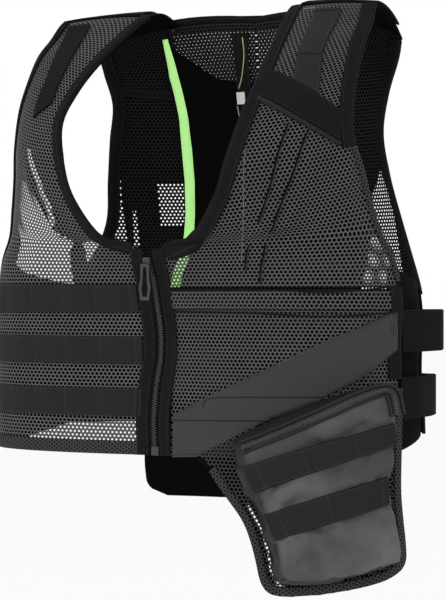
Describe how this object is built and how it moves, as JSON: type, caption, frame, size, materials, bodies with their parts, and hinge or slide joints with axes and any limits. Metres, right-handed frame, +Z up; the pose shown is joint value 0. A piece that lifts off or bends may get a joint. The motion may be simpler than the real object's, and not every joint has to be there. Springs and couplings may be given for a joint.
{
  "type": "motorcycle utility vest",
  "caption": "Air-mesh utility vest: front zip, webbing rows, rubberised panel, neon piping inside the back, elastic side straps and a hip pocket on a mesh skirt.",
  "frame": {"origin": "middle of the shoulder line, where the vest hangs on its wearer", "axes": "+X to the wearer's left, +Y to the wearer's back, +Z up"},
  "size_m": [0.4483, 0.2588, 0.5446],
  "materials": {
    "net": "open six-sided air-mesh knit",
    "cloth": "plain woven tape and cloth",
    "webbing": "ribbed webbing and elastic",
    "rubberised": "rubber-coated cloth",
    "neon": "bright green piping",
    "label": "woven label, blank",
    "zip_metal": "dark satin enamel"
  },
  "bodies": {
    "vest": {"arm_binding_left": "cloth", "arm_binding_right": "cloth", "arm_edge_left": "net", "back_binding_left": "cloth", "back_binding_right": "cloth", "back_hem": "cloth", "back_net": "net", "back_tail": "cloth", "channel_band": "net", "collar_binding": "cloth", "collar_tape": "cloth", "front_left_chest_net": "net", "front_left_waist_net": "net", "front_right_net": "net", "hem_right": "net", "neck_binding_left": "cloth", "neck_binding_right": "cloth", "neon_piping_left": "neon", "neon_piping_right": "neon", "placket_left": "cloth", "placket_right": "cloth", "pocket_body": "rubberised", "pocket_skirt_net": "net", "pocket_webbing_1": "webbing", "pocket_webbing_2": "webbing", "pocket_zip": "cloth", "protector_pouch": "cloth", "reinforcement_left": "rubberised", "shoulder_flap_left": "webbing", "shoulder_flap_right": "webbing", "shoulder_rear_left": "net", "shoulder_rear_right": "net", "shoulder_strip_left": "cloth", "shoulder_strip_right": "cloth", "side_flap_left": "cloth", "side_flap_right": "cloth", "side_strap_lower_left": "webbing", "side_strap_lower_right": "webbing", "side_strap_upper_left": "webbing", "side_strap_upper_right": "webbing", "side_trim_left": "cloth", "size_label": "label", "webbing_row_1": "webbing", "webbing_row_2": "webbing", "webbing_row_3": "webbing", "yoke_left": "cloth", "zip_bottom_box": "zip_metal", "zip_chain": "zip_metal", "zip_slider": "zip_metal", "zip_tape_left": "cloth", "zip_tape_right": "cloth"},
    "pull": {"zip_pull": "zip_metal"}
  },
  "joints": [
    {"name": "zip_pull_hinge", "type": "hinge", "parent": "vest", "child": "pull", "pos_m": [0, -0.12644, -0.23866], "axis": [-1, 0, 0], "range_deg": [0, 150]}
  ]
}
